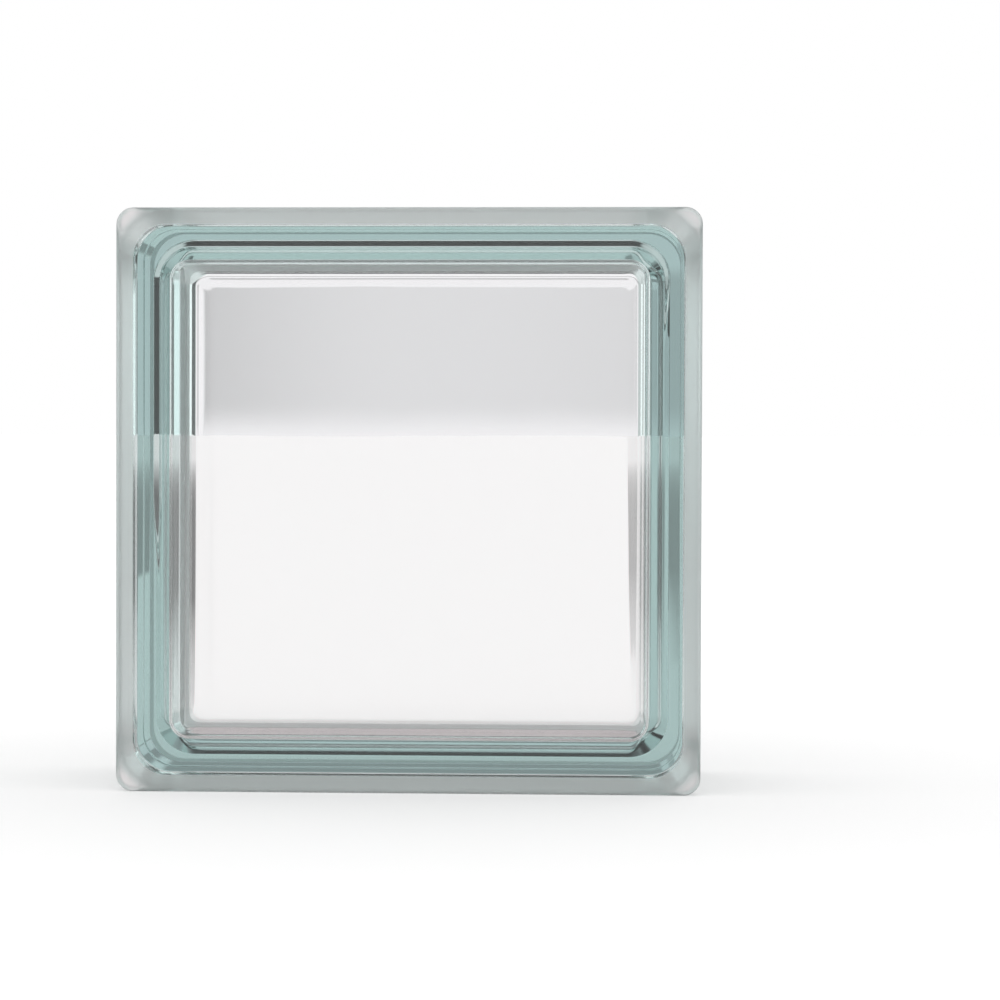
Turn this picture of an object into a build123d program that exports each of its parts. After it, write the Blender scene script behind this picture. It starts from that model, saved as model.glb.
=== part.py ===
from build123d import *
import os

# Hollow glass block, in millimetres. The block stands upright on its lower edge.
# X runs along the wall it is built into, Y through the wall and Z up. The origin is
# at the middle of the footprint, the front face looks towards -Y, and the fused seam
# between the two pressed halves lies on the plane Y = 0.

# Overall
face_width = 190.0
face_height = 190.0
block_depth = 80.0

# Lip: the rim of each face, which stands out past the side wall
face_corner_radius = 5.5
face_edge_round = 1.5
lip_land = 9.0
lip_land_at_corner = 7.7
lip_back_round = 1.5

# Side wall at the bottom of the mortar channel, and the shoulder that slopes up to the lip
channel_depth = 5.7
shoulder_run = 6.0
shoulder_hollow_round = 4.0
wall_corner_radius = 11.0

# Cavity: the plunger's draft leaves the glass thicker at the pane than at the seam
pane_thickness = 9.0
wall_at_pane = 11.3
wall_at_seam = 4.2
cavity_corner_radius = 6.0
pane_fillet = 2.0

# Bead squeezed out to both sides of the rim when the two halves were fused
outer_bead_height = 0.8
inner_bead_height = 0.5
bead_width = 3.6

half_depth = block_depth / 2
half_bead = bead_width / 2
pane_inset = channel_depth + wall_at_pane


def outline(inset, corner):
    """The face's outline drawn in by inset on all four sides, on the seam plane."""
    seam_plane = Plane(origin=(0, 0, face_height / 2), x_dir=(1, 0, 0), z_dir=(0, 1, 0))
    return seam_plane * RectangleRounded(face_width - 2 * inset, face_height - 2 * inset, corner)


def slab(inset, corner, front, depth):
    """A plain slab with that outline, from front behind the front face and depth thick."""
    return Pos(0, front - half_depth, 0) * extrude(outline(inset, corner), depth)


def carried_round(section, inset, corner):
    """A section swept round an outline. Its x is the distance inwards from the line, its y is Y."""
    path = outline(inset, corner).face().outer_wire()
    inwards = Vector(0, 1, 0).cross(path % 0)
    return sweep(Plane(origin=path @ 0, x_dir=inwards, z_dir=path % 0) * section, path=path)


def mortar_channel():
    """Half of the channel round the edge: shoulder, side wall and the bead at the seam.

    The shoulder slopes at the sides and turns flat behind the corners of the lip, which stand
    out further from the wall.
    """
    past_lip = -channel_depth - wall_corner_radius
    flat_level = lip_land_at_corner - half_depth
    wall_foot = (0, lip_land + shoulder_run - half_depth)
    slope_end = ((flat_level - wall_foot[1]) * channel_depth / shoulder_run, flat_level)
    bead_foot = (0, -half_bead)
    bead_crest = (-outer_bead_height, 0)
    floor = FilletPolyline(
        (past_lip, flat_level), slope_end, wall_foot, bead_foot, radius=shoulder_hollow_round
    )
    bead = TangentArc(bead_crest, bead_foot, tangent=(0, -1))
    mouth = Polyline(bead_crest, (past_lip, 0), (past_lip, flat_level))
    return carried_round(make_face(floor + bead + mouth), channel_depth, wall_corner_radius)


def cavity():
    """The space that the plunger leaves in one half, narrowed by the bead at the seam."""
    rounding = min(pane_fillet, 0.9 * cavity_corner_radius)
    pane_level = pane_thickness - half_depth
    spread = wall_at_pane - wall_at_seam
    bead_foot = (-spread, -half_bead)
    bead_crest = (inner_bead_height - spread, 0)
    wall = FilletPolyline((rounding, pane_level), (0, pane_level), bead_foot, radius=rounding)
    bead = TangentArc(bead_crest, bead_foot, tangent=(0, -1))
    inside = Polyline(bead_crest, (rounding, 0), (rounding, pane_level))
    rim = carried_round(make_face(wall + bead + inside), pane_inset, cavity_corner_radius)
    middle = slab(pane_inset + rounding, cavity_corner_radius - rounding, pane_thickness, -pane_level)
    return rim + middle


def pressed_half():
    """One pressed half: a dish of glass whose floor is the pane and whose rim is the seam."""
    body = slab(0, face_corner_radius, 0, half_depth) - mortar_channel()
    lip_back = lip_land - half_depth
    back_edges = body.edges().filter_by_position(Axis.Y, lip_back - 0.01, lip_back + 0.01)
    body = fillet(back_edges, lip_back_round)
    body = fillet(body.faces().sort_by(Axis.Y)[0].edges(), face_edge_round)
    return body - cavity()


front_half = pressed_half()
rear_half = mirror(front_half, about=Plane.XZ)

os.makedirs("parts", exist_ok=True)
export_step(front_half, "parts/front_half.step")
export_step(rear_half, "parts/rear_half.step")
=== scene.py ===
import math

import bpy
import numpy as np
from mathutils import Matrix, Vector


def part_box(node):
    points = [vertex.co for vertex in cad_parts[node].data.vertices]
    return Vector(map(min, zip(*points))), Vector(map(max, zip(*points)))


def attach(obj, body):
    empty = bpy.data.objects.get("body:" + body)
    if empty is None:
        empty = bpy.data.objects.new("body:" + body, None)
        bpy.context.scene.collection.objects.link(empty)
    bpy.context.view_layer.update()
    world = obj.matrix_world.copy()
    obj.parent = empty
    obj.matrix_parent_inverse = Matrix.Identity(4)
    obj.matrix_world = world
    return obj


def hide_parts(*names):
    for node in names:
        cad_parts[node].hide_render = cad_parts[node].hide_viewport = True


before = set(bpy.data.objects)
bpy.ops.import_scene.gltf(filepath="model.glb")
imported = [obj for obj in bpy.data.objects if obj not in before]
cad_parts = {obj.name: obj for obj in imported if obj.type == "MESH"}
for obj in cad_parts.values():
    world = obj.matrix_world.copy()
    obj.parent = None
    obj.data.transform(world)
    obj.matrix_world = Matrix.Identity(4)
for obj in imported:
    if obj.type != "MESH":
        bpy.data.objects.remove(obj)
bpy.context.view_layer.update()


# Glass body
# The block is two pressed dishes of clear soda-lime glass, fused rim to rim into one hollow body.
# It is drawn as the one body that it is after fusing, so no seam face stands inside the glass. The
# outside carries the lips, shoulders, side wall and squeezed bead, and the inside is the sealed cavity.
front_low, front_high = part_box("front_half")
rear_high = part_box("rear_half")[1]
block_centre = (front_low + rear_high) / 2
half_face = (front_high.x - front_low.x) / 2
half_depth = (rear_high.y - front_low.y) / 2

# Lip, shoulder and side wall
face_corner_radius = 0.0055
face_edge_round = 0.0015
lip_land = 0.009
lip_land_at_corner = 0.0077
lip_back_round = 0.0015
channel_depth = 0.0057
shoulder_run = 0.006
shoulder_hollow_round = 0.004
wall_corner_radius = 0.011
outer_bead_height = 0.0008
inner_bead_height = 0.0005
half_bead = 0.0018

# Cavity
pane_thickness = 0.009
wall_at_pane = 0.0113
wall_at_seam = 0.0042
cavity_corner_radius = 0.006
pane_fillet = 0.002

# Fine relief of the cavity: the pane rises towards its fillet, and the front half's wall is hollowed
# beside the bead, along the top and the upper left, where the soft glass sagged
pane_rise_width = 0.0048
pane_rise = 0.00018
wall_hollow = 0.0016
hollow_start = 0.0106
hollow_deepest = 0.0057
sag_tilt = 0.5
sag_start = 0.01
sag_full = 0.045

# How finely the rings are spaced. Those on the lip's land stop short of its back edge by a share of
# the back round.
side_steps = 40
corner_steps = 20
edge_steps = 8
lip_back_steps = 6
side_wall_steps = 10
rise_steps = 12
fillet_steps = 14
cavity_wall_steps = 60
face_shares = [0.04, 0.12, 0.2, 0.28, 0.36, 0.44, 0.52, 0.6, 0.68, 0.76, 0.84, 0.9, 0.95, 0.98, 0.995]
land_shares = [0.2, 0.5, 0.8]
land_stops_short = 0.62
pane_shares = [0.03, 0.1, 0.2, 0.3, 0.4, 0.5, 0.6, 0.7, 0.78, 0.85, 0.9]

wall_half = half_face - channel_depth
cavity_half = wall_half - wall_at_pane
pane_level = pane_thickness - half_depth
wall_corner = wall_half - wall_corner_radius
cavity_corner = cavity_half - cavity_corner_radius
ring_size = 4 * (corner_steps + side_steps)


def spread(first, last, steps):
    """Evenly spaced values from first to last, both ends included."""
    return [first + (last - first) * i / steps for i in range(steps + 1)]


def smooth_step(share):
    """0 below 0, 1 above 1, and a soft step between."""
    share = np.clip(share, 0, 1)
    return share * share * (3 - 2 * share)


def bead_share(share):
    """The bead's height as a share of its crest, from -1 at its foot to 0 at the seam."""
    return (math.cos(math.pi * share) + 1) / 2


def reach_to_outline(half, radius, corner, angle):
    """How far from the corner's centre, along the angle, the rounded square of that size lies."""
    flank = half - radius - corner
    if flank < 1e-9:
        return half - corner
    folded = min(angle, math.pi / 2 - angle)
    straight = (half - corner) / math.cos(folded)
    if straight * math.sin(folded) <= flank:
        return straight
    along = flank * (math.cos(folded) + math.sin(folded))
    return along + math.sqrt(along * along - 2 * flank * flank + radius * radius)


def corner_angles(half, radius, corner):
    """Angles for the points round a corner, closer together where the outline itself turns."""
    flank = half - radius - corner
    if flank < 1e-9:
        return spread(0, math.pi / 2, corner_steps)
    turn = math.atan2(flank, half - corner)
    few = corner_steps // 4
    first = spread(0, turn, few)[:-1]
    middle = spread(turn, math.pi / 2 - turn, corner_steps - 2 * few)[:-1]
    last = spread(math.pi / 2 - turn, math.pi / 2, few)
    return first + middle + last


outer_angles = corner_angles(half_face, face_corner_radius, wall_corner)
inner_angles = corner_angles(cavity_half, cavity_corner_radius, cavity_corner)


def ring_points(half, radius, corner, angles):
    """A loop of points round a rounded square, as x and z from the block's centre."""
    quarter = []
    for angle in angles:
        reach = reach_to_outline(half, radius, corner, angle)
        quarter.append((corner + reach * math.cos(angle), corner + reach * math.sin(angle)))
    for i in range(1, side_steps):
        quarter.append((corner - 2 * corner * i / side_steps, half))
    ring = []
    for quarter_turns in range(4):
        for x, z in quarter:
            for _ in range(quarter_turns):
                x, z = -z, x
            ring.append((x, z))
    return np.array(ring)


def cavity_ring(half):
    """A loop round the cavity's wall at that half width."""
    return ring_points(half, half - cavity_corner, cavity_corner, inner_angles)


def sagged_ring(half, from_seam):
    """The same loop in the front half, hollowed where the glass sagged beside the bead."""
    if from_seam > hollow_deepest:
        share = (hollow_start - from_seam) / (hollow_start - hollow_deepest)
    else:
        share = (from_seam - half_bead) / (hollow_deepest - half_bead)
    ring = cavity_ring(half)
    hollowed = cavity_ring(half + wall_hollow * smooth_step(share))
    lean = ring[:, 1] - sag_tilt * ring[:, 0]
    sagged = smooth_step((lean - sag_start) / (sag_full - sag_start))
    return ring + (hollowed - ring) * sagged[:, None]


def closed_skin(front_rings, rear_rings):
    """Points and faces of a skin over the rings, with a fan round the middle at both ends.

    Both lists hold rings with their depths, from the middle of the front to the seam. The rear
    ones are turned to the other side of the seam.
    """
    rings = front_rings + [(ring, -depth) for ring, depth in reversed(rear_rings[:-1])]
    rows = []
    for ring, depth in rings:
        rows.append(np.column_stack([ring[:, 0], np.broadcast_to(depth, (ring_size,)), ring[:, 1]]))
    middles = [(0, rows[0][0, 1], 0), (0, rows[-1][0, 1], 0)]
    points = np.vstack(rows + [middles])
    first_middle = len(rows) * ring_size
    last_middle = first_middle + 1
    last_row = first_middle - ring_size
    following = [(i + 1) % ring_size for i in range(ring_size)]
    faces = []
    for a in range(0, last_row, ring_size):
        b = a + ring_size
        for i, j in enumerate(following):
            faces.append((a + i, b + i, b + j, a + j))
    for i, j in enumerate(following):
        faces.append((first_middle, i, j))
        faces.append((last_middle, last_row + j, last_row + i))
    return points, faces


def outer_skin():
    """The outside, from the middle of the front face round the edge to the middle of the rear face."""
    # Face, and its rounded edge
    rim_half = half_face - face_edge_round
    rim = ring_points(rim_half, face_corner_radius - face_edge_round, wall_corner, outer_angles)
    rings = [(rim * share, -half_depth) for share in face_shares]
    for angle in spread(0, math.pi / 2, edge_steps):
        inset = face_edge_round * (1 - math.sin(angle))
        depth = -half_depth + face_edge_round * (1 - math.cos(angle))
        ring = ring_points(half_face - inset, face_corner_radius - inset, wall_corner, outer_angles)
        rings.append((ring, depth))

    # Back of the lip: a slope at the sides that turns flat behind the corners
    lip_line = ring_points(half_face, face_corner_radius, wall_corner, outer_angles)
    wall_line = ring_points(wall_half, wall_corner_radius, wall_corner, outer_angles)
    stand = np.hypot(*(lip_line - wall_line).T)
    unit_out = (lip_line - wall_line) / stand[:, None]
    slope = shoulder_run / channel_depth
    slope_fall = math.atan(1 / slope)
    foot_depth = -half_depth + lip_land + shoulder_run
    flat_depth = -half_depth + lip_land_at_corner

    def back_depth(out):
        return np.maximum(foot_depth - slope * out, flat_depth)

    # Land of the lip, and its rounded back edge
    back_edge = back_depth(stand)
    back_turn = np.where(stand * slope > foot_depth - flat_depth, math.pi / 2, slope_fall)
    land_start = -half_depth + face_edge_round
    land_end = back_edge - lip_back_round * land_stops_short
    for share in land_shares:
        rings.append((lip_line, land_start + (land_end - land_start) * share))
    round_start = back_edge - lip_back_round * np.tan(back_turn / 2)
    for share in spread(0, 1, lip_back_steps):
        inwards = lip_back_round * (1 - np.cos(back_turn * share))
        depth = round_start + lip_back_round * np.sin(back_turn * share)
        rings.append((lip_line - unit_out * inwards[:, None], depth))

    # Shoulder, with its hollow round down to the side wall
    shoulder_top = stand - lip_back_round * (1 - np.cos(back_turn))
    hollow_reach = shoulder_hollow_round * math.tan(slope_fall / 2)
    hollow_out = hollow_reach * math.sin(slope_fall)
    for share in spread(0, 1, edge_steps)[1:]:
        out = shoulder_top + (hollow_out - shoulder_top) * share
        rings.append((wall_line + unit_out * out[:, None], back_depth(out)))
    for share in spread(0, 1, edge_steps)[1:]:
        turn = slope_fall * (1 - share)
        out = shoulder_hollow_round * (1 - math.cos(turn))
        depth = foot_depth + hollow_reach - shoulder_hollow_round * math.sin(turn)
        rings.append((wall_line + unit_out * out, depth))

    # Side wall up to the bead at the seam
    for depth in spread(foot_depth + hollow_reach, -half_bead, side_wall_steps)[1:]:
        rings.append((wall_line, depth))
    for share in spread(-1, 0, edge_steps)[1:]:
        out = outer_bead_height * bead_share(share)
        rings.append((wall_line + unit_out * out, half_bead * share))
    return closed_skin(rings, rings)


def inner_skin():
    """The cavity, from the middle of the front pane round the wall to the middle of the rear pane."""
    # Pane, rising towards its fillet
    flat_half = cavity_half - pane_fillet
    flat_line = ring_points(flat_half, cavity_corner_radius - pane_fillet, cavity_corner, inner_angles)
    rings = [(flat_line * share, pane_level) for share in pane_shares]
    for share in spread(0, 1, rise_steps):
        inset = pane_rise_width * (1 - share)
        rings.append((flat_line * (1 - inset / flat_half), pane_level + pane_rise * share * share))

    # Fillet between the pane and the drafted wall
    draft_width = wall_at_pane - wall_at_seam
    draft_length = -half_bead - pane_level
    draft = math.atan2(draft_width, draft_length)
    fillet_turn = math.pi / 2 - draft
    fillet_reach = pane_fillet * math.tan(fillet_turn / 2)
    for share in spread(0, 1, fillet_steps)[1:]:
        turn = fillet_turn * share
        depth = pane_level + pane_rise * (1 - share) + pane_fillet * (1 - math.cos(turn))
        rings.append((cavity_ring(cavity_half + pane_fillet * math.sin(turn) - fillet_reach), depth))

    # Drafted wall, sagged in the front half, and the bead at the seam
    sagged_rings = list(rings)
    for run in spread(fillet_reach * math.cos(draft), draft_length, cavity_wall_steps)[1:]:
        half = cavity_half + run * math.tan(draft)
        depth = pane_level + run
        rings.append((cavity_ring(half), depth))
        sagged_rings.append((sagged_ring(half, -depth), depth))
    bead_rings = []
    for share in spread(-1, 0, edge_steps)[1:]:
        half = cavity_half + draft_width - inner_bead_height * bead_share(share)
        bead_rings.append((cavity_ring(half), half_bead * share))
    return closed_skin(sagged_rings + bead_rings, rings + bead_rings)


outer_points, outer_faces = outer_skin()
inner_points, inner_faces = inner_skin()
outer_count = len(outer_points)
cavity_faces = [tuple(index + outer_count for index in reversed(face)) for face in inner_faces]
body_points = np.vstack([outer_points, inner_points]) + np.array(block_centre)
glass_mesh = bpy.data.meshes.new("glass_body")
glass_mesh.from_pydata(body_points.tolist(), [], outer_faces + cavity_faces)
glass_mesh.validate()
glass_mesh.shade_smooth()
glass_body = bpy.data.objects.new("glass_body", glass_mesh)
bpy.context.scene.collection.objects.link(glass_body)


class Socket:
    """One output of a node. Arithmetic on it adds the Math nodes that do it."""

    def __init__(self, tree, link):
        self.tree = tree
        self.link = link

    def beside(self, name):
        """Another output of the same node."""
        return Socket(self.tree, self.link.node.outputs[name])

    def math(self, operation, *values):
        return node(self.tree, "ShaderNodeMath", {"operation": operation}, self, *values)

    def __add__(self, other):
        return self.math("ADD", other)

    def __radd__(self, other):
        return self.math("ADD", other)

    def __mul__(self, other):
        return self.math("MULTIPLY", other)

    def __rmul__(self, other):
        return self.math("MULTIPLY", other)

    def __sub__(self, other):
        return self.math("SUBTRACT", other)

    def __rsub__(self, other):
        return (self * -1.0).math("ADD", other)

    def __abs__(self):
        return self.math("ABSOLUTE")

    def maximum(self, other):
        return self.math("MAXIMUM", other)

    def minimum(self, other):
        return self.math("MINIMUM", other)

    def between(self, low, high):
        """0 below low, 1 above high, and a soft step between."""
        settings = {"interpolation_type": "SMOOTHSTEP"}
        return node(self.tree, "ShaderNodeMapRange", settings, self, low, high)

    def band(self, low, full, fading, gone):
        """1 from full to fading, 0 below low and above gone, and a soft step on both sides."""
        return self.between(low, full) * (1 - self.between(fading, gone))

    def mixed(self, share, other):
        """This value where share is 0, and the other where it is 1."""
        return self * (1 - share) + share * other


def node(tree, kind, settings, *values, output=0, **named):
    """A node with its settings made first, then its sockets filled in order and by name."""
    made = tree.nodes.new(kind)
    for name, value in settings.items():
        setattr(made, name, value)
    sockets = list(enumerate(values))
    sockets += [(name.replace("_", " "), value) for name, value in named.items()]
    for socket, value in sockets:
        if isinstance(value, Socket):
            tree.links.new(value.link, made.inputs[socket])
        else:
            made.inputs[socket].default_value = value
    return Socket(tree, made.outputs[output]) if made.outputs else None


def empty_tree(owner):
    """The node tree of a material or of the world, switched on and cleared."""
    owner.use_nodes = True
    owner.node_tree.nodes.clear()
    return owner.node_tree


# Clear glass with the green of its iron, which light picks up on its way through. It is polished by
# fire, satin with a fine grain on the face and land of the lip, and waves slightly inside the panes.
face_zone = (half_depth - 0.0012, half_depth - 0.0004)
land_zone = (half_face - 0.0016, half_face - 0.0006)
wall_zone = (-0.0002, 0.0003)
pane_zone = (0.0302, 0.0306, 0.0314, 0.0318)
window_edge = (cavity_half - 0.008, cavity_half - 0.002)
satin_roughness = 0.4
satin_share = 0.4
grain_fineness = 500.0
grain_depth = 0.0003
grain_strength = 0.02
wave_fineness = 26.0
wave_depth = 0.00005

clear_glass = bpy.data.materials.new("clear_glass")
glass_tree = empty_tree(clear_glass)
place = node(glass_tree, "ShaderNodeTexCoord", {}, output="Object")
place_x = node(glass_tree, "ShaderNodeSeparateXYZ", {}, place)
from_seam = abs(place_x.beside("Y"))
across = abs(place_x)
upright = abs(place_x.beside("Z") - block_centre.z)
outwards = across.maximum(upright)
past_x = (across - wall_corner).maximum(0.0)
past_z = (upright - wall_corner).maximum(0.0)
past_wall = (past_x * past_x + past_z * past_z).math("SQRT") - wall_corner_radius
on_lip = from_seam.between(*face_zone).maximum(outwards.between(*land_zone))
satin = past_wall.between(*wall_zone) * on_lip
grain = node(glass_tree, "ShaderNodeTexNoise", {}, Vector=place, Scale=grain_fineness, Detail=2.0)
wave = node(glass_tree, "ShaderNodeTexNoise", {}, Vector=place, Scale=wave_fineness, Detail=1.0)
wave_height = wave * from_seam.band(*pane_zone) * (1 - outwards.between(*window_edge))
wave_bump = node(
    glass_tree, "ShaderNodeBump", {}, Strength=1.0, Distance=wave_depth, Height=wave_height
)
glass_bump = node(
    glass_tree,
    "ShaderNodeBump",
    {},
    Strength=grain_strength,
    Distance=grain_depth,
    Height=grain * satin,
    Normal=wave_bump,
)
polished_glass = node(
    glass_tree,
    "ShaderNodeBsdfPrincipled",
    {},
    Base_Color=(1.0, 1.0, 1.0, 1.0),
    Roughness=satin * satin_roughness,
    IOR=1.52,
    Transmission_Weight=1.0,
    Normal=glass_bump,
)
satin_skin = node(
    glass_tree,
    "ShaderNodeBsdfPrincipled",
    {},
    Base_Color=(0.84, 0.88, 0.87, 1.0),
    Roughness=0.5,
    IOR=1.52,
    Normal=glass_bump,
)
glass_surface = node(
    glass_tree, "ShaderNodeMixShader", {}, satin * satin_share, polished_glass, satin_skin
)
iron_green = node(
    glass_tree, "ShaderNodeVolumeAbsorption", {}, Color=(0.03, 0.4, 0.37, 1.0), Density=15.0
)
node(glass_tree, "ShaderNodeOutputMaterial", {}, Surface=glass_surface, Volume=iron_green)
glass_mesh.materials.append(clear_glass)

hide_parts("front_half", "rear_half")
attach(glass_body, "root")


# Floor
# A white sheet on a table that the block stands on, which is not part of the object. The camera sees
# it plain white with the block's shadow on it. In and through the glass the table past the sheet's
# edges looks darker, and the sheet glows slightly red, to make up for the green of the panes.
floor_reach = 60.0
paint_white = 0.8
glow_near_block = 0.35
glow_added_further_out = 0.12
glow_in_glass = (0.53, 0.41, 0.42)
# How much painted shade darkens the sheet under the block, as seen in and through the glass
painted_shade_under_block = 0.15

# Half the sheet's width beside the block, what it widens per metre behind the block, and what each
# of them gains on the left
sheet_half_width = 0.085
sheet_widening = 0.0185
wider_on_left = 0.015
widening_added_on_left = 0.18
edge_softness = 0.015

# How dim the table is beside the block, what it dims per metre, and the most that it dims
table_dim = 0.13
table_dims_per_metre = 0.25
table_dimmest = 0.55

floor_mesh = bpy.data.meshes.new("floor")
floor_corners = [(-floor_reach, -floor_reach, 0), (floor_reach, -floor_reach, 0)]
floor_corners += [(floor_reach, floor_reach, 0), (-floor_reach, floor_reach, 0)]
floor_mesh.from_pydata(floor_corners, [], [(0, 1, 2, 3)])
floor = bpy.data.objects.new("floor", floor_mesh)
bpy.context.scene.collection.objects.link(floor)

floor_paint = bpy.data.materials.new("floor_paint")
floor_tree = empty_tree(floor_paint)
seen_directly = node(floor_tree, "ShaderNodeLightPath", {}, output="Is Camera Ray")
seen_in_glass = seen_directly.beside("Is Glossy Ray").maximum(seen_directly.beside("Is Transmission Ray"))
floor_place = node(floor_tree, "ShaderNodeTexCoord", {}, output="Object")
floor_x = node(floor_tree, "ShaderNodeSeparateXYZ", {}, floor_place)
floor_y = floor_x.beside("Y")
floor_turn = floor_x.math("ARCTAN2", floor_y) * (180 / math.pi)
floor_aside = abs(floor_turn)
floor_away = (floor_x * floor_x + floor_y * floor_y).math("SQRT")

# Where the table shows: past the sheet's edges, less so behind on the right, and all over beside the
# block on the right, but not in front. Turns are in degrees to the right of straight behind.
on_left = 1 - floor_x.between(-0.1, 0.1)
widening = on_left * widening_added_on_left + sheet_widening
sheet_edge = floor_y.maximum(0.0) * widening + sheet_half_width + on_left * wider_on_left
past_edge = (abs(floor_x) - sheet_edge).between(0.0, edge_softness)
past_edge = past_edge * (1 - floor_turn.between(9.0, 11.0) * 0.65)
on_table = past_edge.maximum(floor_turn.between(60.0, 68.0))
on_table = on_table * (1 - floor_aside.between(135.0, 145.0))

# How dim the table is: more on the left and at the sides, and lighter again far away
far_side = on_left.maximum(floor_aside.between(30.0, 50.0))
table_dimness = floor_away * (far_side * 0.37 + table_dims_per_metre) + table_dim - far_side * 0.05
table_dimness = table_dimness.minimum(far_side * 0.28 + table_dimmest)
table_dimness = table_dimness * on_table * (1 - floor_away.between(3.0, 13.0) * 0.8)
# Painted shade: in and through the glass the sheet is darkened under and around the block's footprint,
# standing in for the shade the block casts there
under_block = (1 - abs(floor_x).between(0.07, 0.12)) * (1 - abs(floor_y).between(0.02, 0.075))
level_in_glass = (1 - table_dimness) * (1 - under_block * painted_shade_under_block)

paint_level = (1 - seen_in_glass * (1 - level_in_glass)) * paint_white
further_out = floor_away.between(0.1, 0.6)
camera_glow = seen_directly * (further_out * glow_added_further_out + glow_near_block)
glass_glow = seen_in_glass * level_in_glass
floor_colour = node(floor_tree, "ShaderNodeCombineColor", {}, paint_level, paint_level, paint_level)
glow_levels = [camera_glow + glass_glow * share for share in glow_in_glass]
floor_glow = node(floor_tree, "ShaderNodeCombineColor", {}, *glow_levels)
floor_surface = node(
    floor_tree,
    "ShaderNodeBsdfPrincipled",
    {},
    Base_Color=floor_colour,
    Roughness=0.9,
    Specular_IOR_Level=0.0,
    Emission_Color=floor_glow,
    Emission_Strength=1.0,
)
node(floor_tree, "ShaderNodeOutputMaterial", {}, Surface=floor_surface)
floor_mesh.materials.append(floor_paint)


# Studio light
# A soft white room, which the camera sees plain white. In and through the glass it is a grey backdrop
# with a white wall above it, side walls that are dark low on the left, and a dark ceiling. Turns are
# in degrees to the right of straight behind, and heights in degrees above the horizon.
backdrop_left = 0.46
backdrop_rim = 1.03
white_strip = 1.0
grey_gap = 0.5
upper_wall = 1.1
side_wall = 0.6
upper_side_wall = 0.8
ceiling_grey = 0.35
lights_surfaces_at = 0.8
warmth = (0.13, 0.0, 0.03)

world = bpy.data.worlds.new("studio")
bpy.context.scene.world = world
room = empty_tree(world)
direction = node(room, "ShaderNodeTexCoord", {}, output="Generated")
to_side = node(room, "ShaderNodeSeparateXYZ", {}, direction)
height = to_side.beside("Z").math("ARCSINE") * (180 / math.pi)
turn = to_side.math("ARCTAN2", to_side.beside("Y")) * (180 / math.pi)
aside = abs(turn)

# Backdrop: lighter towards the right, and bright along its sides and at its foot
backdrop = turn.between(-10.0, -3.0) * 0.32 + backdrop_left
backdrop = backdrop - turn.between(-2.0, 2.0) * 0.05 + turn.between(3.0, 6.0) * 0.25
backdrop_sides = (1 - turn.between(-8.2, -7.5)).maximum(turn.between(8.3, 9.0))
backdrop_foot = 1 - height.between(-0.3, 0.5)
backdrop = backdrop.mixed(backdrop_sides.maximum(backdrop_foot), backdrop_rim)

# Above the backdrop: a white strip, a grey gap, and the upper wall, which is dimmer high up
behind = backdrop.mixed(height.between(7.5, 9.5), upper_wall - height.between(27.0, 33.0) * 0.5)
behind = behind.mixed(height.band(2.6, 2.9, 4.6, 5.1), white_strip)
behind = behind.mixed(height.band(4.6, 5.1, 8.0, 9.5), grey_gap)

# Side walls: low down dark on the left and bright beside the block and in front, and more even higher up
dark_on_left = turn.band(-66.0, -62.0, -18.0, -14.0)
towards_front = aside.between(98.0, 106.0) * 0.3
side_low = side_wall - dark_on_left * 0.55 + aside.between(62.0, 66.0) * 0.9 - towards_front
side = side_low.mixed(height.between(8.0, 12.0), towards_front + upper_side_wall)
at_side = aside.between(12.5, 14.0)
level = behind.mixed(at_side, side)

# Ceiling, and the dark stretch high up behind the block
at_ceiling = height.between(50.0, 58.0)
dark_behind = height.band(34.0, 38.0, 78.0, 84.0) * (1 - aside.between(30.0, 45.0))
level = level.mixed(at_ceiling, ceiling_grey) * (1 - dark_behind * 0.93)

camera_sees = node(room, "ShaderNodeLightPath", {}, output="Is Camera Ray")
lights_surfaces = camera_sees.beside("Is Diffuse Ray")
level = level.mixed(camera_sees, 1.0).mixed(lights_surfaces, lights_surfaces_at)
in_glass = (1 - camera_sees) * (1 - lights_surfaces)
warm = in_glass * (1 - at_side) * (1 - at_ceiling)
room_levels = [level * (warm * share + 1.0) for share in warmth]
room_colour = node(room, "ShaderNodeCombineColor", {}, *room_levels)
room_light = node(room, "ShaderNodeBackground", {}, room_colour, 1.0)
node(room, "ShaderNodeOutputWorld", {}, Surface=room_light)


# Camera
# Long lens a little to the right of the block and just above its middle, as in the photograph. The
# block stands left of the middle of the picture, which the lens shift gives.
camera_distance = 1.1
camera_azimuth = math.radians(2.99)
camera_elevation = math.radians(1.20)
camera_roll = math.radians(0.15)
picture_pixels = 1000
focal_pixels = 3275.4
lens_axis_across = 414.0
lens_axis_down = 498.3

lens_data = bpy.data.cameras.new("camera")
camera = bpy.data.objects.new("camera", lens_data)
bpy.context.scene.collection.objects.link(camera)
bpy.context.scene.camera = camera
lens_data.sensor_width = 36.0
lens_data.lens = focal_pixels / picture_pixels * lens_data.sensor_width
lens_data.shift_x = (picture_pixels / 2 - lens_axis_across) / picture_pixels
lens_data.shift_y = (lens_axis_down - picture_pixels / 2) / picture_pixels
lens_data.clip_start = 0.05
lens_data.clip_end = 200.0
away = (
    math.sin(camera_azimuth) * math.cos(camera_elevation),
    -math.cos(camera_azimuth) * math.cos(camera_elevation),
    math.sin(camera_elevation),
)
camera.location = [centre + camera_distance * step for centre, step in zip(block_centre, away)]
camera.rotation_euler = (math.pi / 2 - camera_elevation, -camera_roll, camera_azimuth)

scene = bpy.context.scene
scene.view_settings.view_transform = "Standard"
scene.cycles.max_bounces = 32
scene.cycles.transmission_bounces = 32
scene.cycles.glossy_bounces = 16
